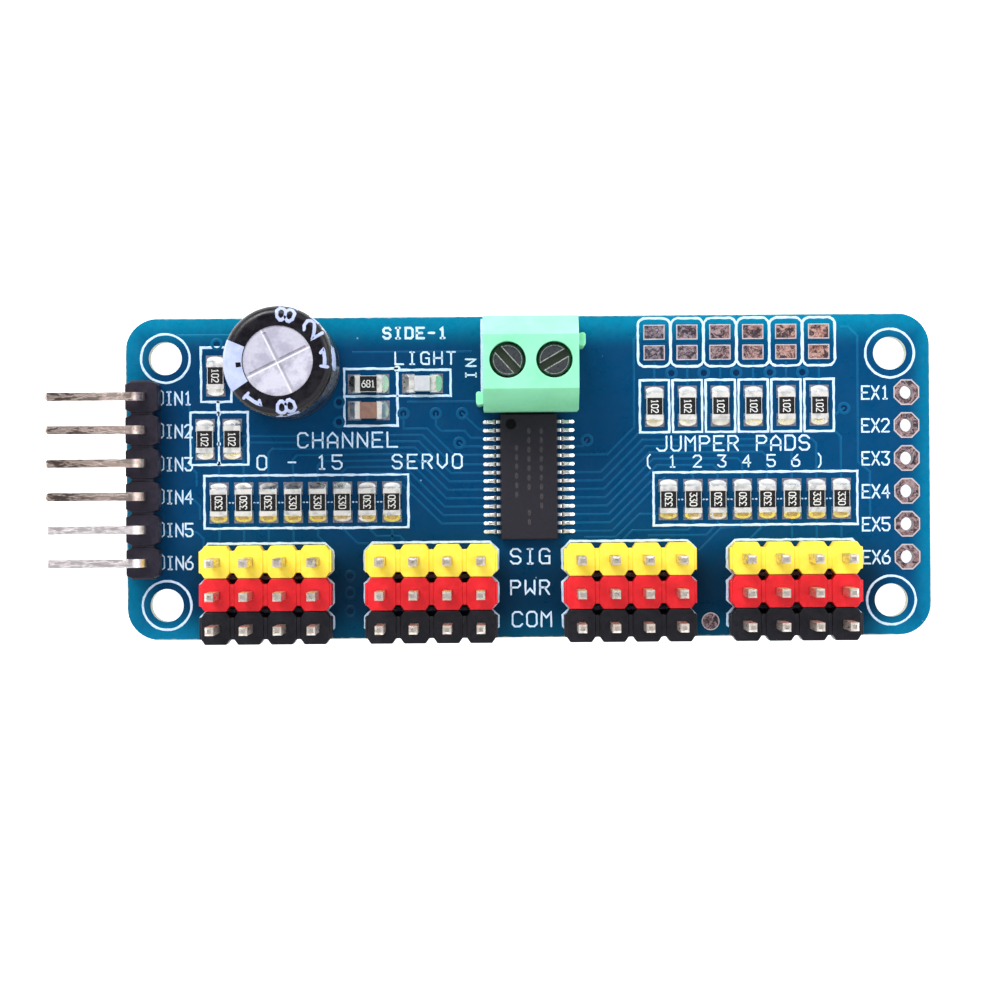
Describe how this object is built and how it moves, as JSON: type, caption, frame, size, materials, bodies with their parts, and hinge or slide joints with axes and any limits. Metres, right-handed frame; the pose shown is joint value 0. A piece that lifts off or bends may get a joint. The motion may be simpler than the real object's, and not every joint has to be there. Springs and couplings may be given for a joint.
{
  "type": "servo driver board",
  "caption": "Rectangular driver board with a screw terminal, reservoir capacitor, driver chip, three-row servo plug blocks and a right-angle control header.",
  "frame": {"origin": "middle of the mounting-hole pattern, on the underside of the circuit board", "axes": "+X along the board towards the bare plated holes, +Y towards the wire entries, +Z out of the component side"},
  "size_m": [0.0677, 0.0254, 0.015],
  "materials": {
    "board_mask": "blue solder mask over glass epoxy",
    "bare_copper": "dulled bare copper with tinned rims",
    "signal_plastic": "moulded yellow plastic",
    "power_plastic": "moulded red plastic",
    "ground_plastic": "moulded black plastic",
    "pin_metal": "tin-plated square wire",
    "can_metal": "drawn aluminium with a scored vent",
    "can_sleeve": "black shrink sleeve with a pale polarity stripe",
    "seal_rubber": "moulded rubber bung",
    "winding_foil": "rolled foil and paper",
    "terminal_plastic": "moulded pale green plastic",
    "screw_steel": "turned steel with a plain slot",
    "cage_metal": "nickel-plated pressed steel",
    "contact_metal": "tinned brass strip",
    "chip_mould": "moulded dark epoxy",
    "chip_leads": "tin-plated formed leads",
    "silicon": "sawn silicon",
    "resistor_ceramic": "white alumina",
    "resistor_coat": "black glass coat with white digits",
    "end_metal": "tinned end metal",
    "capacitor_ceramic": "brown ceramic",
    "lamp_ceramic": "pale glass-epoxy substrate",
    "lamp_lens": "milky clear resin",
    "lamp_die": "light-emitting die",
    "solder": "bright solder fillet"
  },
  "bodies": {
    "board": {"address_pads": "bare_copper", "capacitor_can": "can_metal", "capacitor_leads": "pin_metal", "capacitor_seal": "seal_rubber", "capacitor_sleeve": "can_sleeve", "capacitor_solder": "solder", "capacitor_winding": "winding_foil", "chip_capacitor_block": "capacitor_ceramic", "chip_capacitor_ends": "end_metal", "circuit_board": "board_mask", "control_header_housing": "ground_plastic", "control_header_pins": "pin_metal", "control_solder": "solder", "driver_ic_body": "chip_mould", "driver_ic_die": "silicon", "driver_ic_leads": "chip_leads", "driver_ic_paddle": "chip_leads", "expansion_pads": "bare_copper", "ground_housing_1": "ground_plastic", "ground_housing_2": "ground_plastic", "ground_housing_3": "ground_plastic", "ground_housing_4": "ground_plastic", "lamp_die": "lamp_die", "lamp_ends": "end_metal", "lamp_lens": "lamp_lens", "lamp_resistor_blocks": "resistor_ceramic", "lamp_resistor_coats": "resistor_coat", "lamp_resistor_ends": "end_metal", "lamp_substrate": "lamp_ceramic", "power_housing_1": "power_plastic", "power_housing_2": "power_plastic", "power_housing_3": "power_plastic", "power_housing_4": "power_plastic", "pull_resistor_blocks": "resistor_ceramic", "pull_resistor_coats": "resistor_coat", "pull_resistor_ends": "end_metal", "series_resistor_blocks": "resistor_ceramic", "series_resistor_coats": "resistor_coat", "series_resistor_ends": "end_metal", "servo_pins_1": "pin_metal", "servo_pins_2": "pin_metal", "servo_pins_3": "pin_metal", "servo_pins_4": "pin_metal", "servo_solder": "solder", "signal_housing_1": "signal_plastic", "signal_housing_2": "signal_plastic", "signal_housing_3": "signal_plastic", "signal_housing_4": "signal_plastic", "terminal_contacts": "contact_metal", "terminal_housing": "terminal_plastic", "terminal_solder": "solder", "test_pad": "bare_copper"},
    "terminal_screw_left": {"terminal_screw_left": "screw_steel"},
    "terminal_cage_left": {"terminal_cage_left": "cage_metal"},
    "terminal_screw_right": {"terminal_screw_right": "screw_steel"},
    "terminal_cage_right": {"terminal_cage_right": "cage_metal"}
  },
  "joints": [
    {"name": "screw_turn_left", "type": "hinge", "parent": "board", "child": "terminal_screw_left", "pos_m": [-0.00155, 0.0089, 0.0082], "axis": [0, 0, -1], "range_deg": [0, 1440]},
    {"name": "cage_lift_left", "type": "slide", "parent": "board", "child": "terminal_cage_left", "axis": [0, 0, 1], "range_m": [0, 0.0016]},
    {"name": "screw_turn_right", "type": "hinge", "parent": "board", "child": "terminal_screw_right", "pos_m": [0.00195, 0.0089, 0.0082], "axis": [0, 0, -1], "range_deg": [0, 1440]},
    {"name": "cage_lift_right", "type": "slide", "parent": "board", "child": "terminal_cage_right", "axis": [0, 0, 1], "range_m": [0, 0.0016]}
  ],
  "couplings": [
    {"joint": "screw_turn_left", "follows": "cage_lift_left", "rad_per_m": 15708},
    {"joint": "screw_turn_right", "follows": "cage_lift_right", "rad_per_m": 15708}
  ]
}
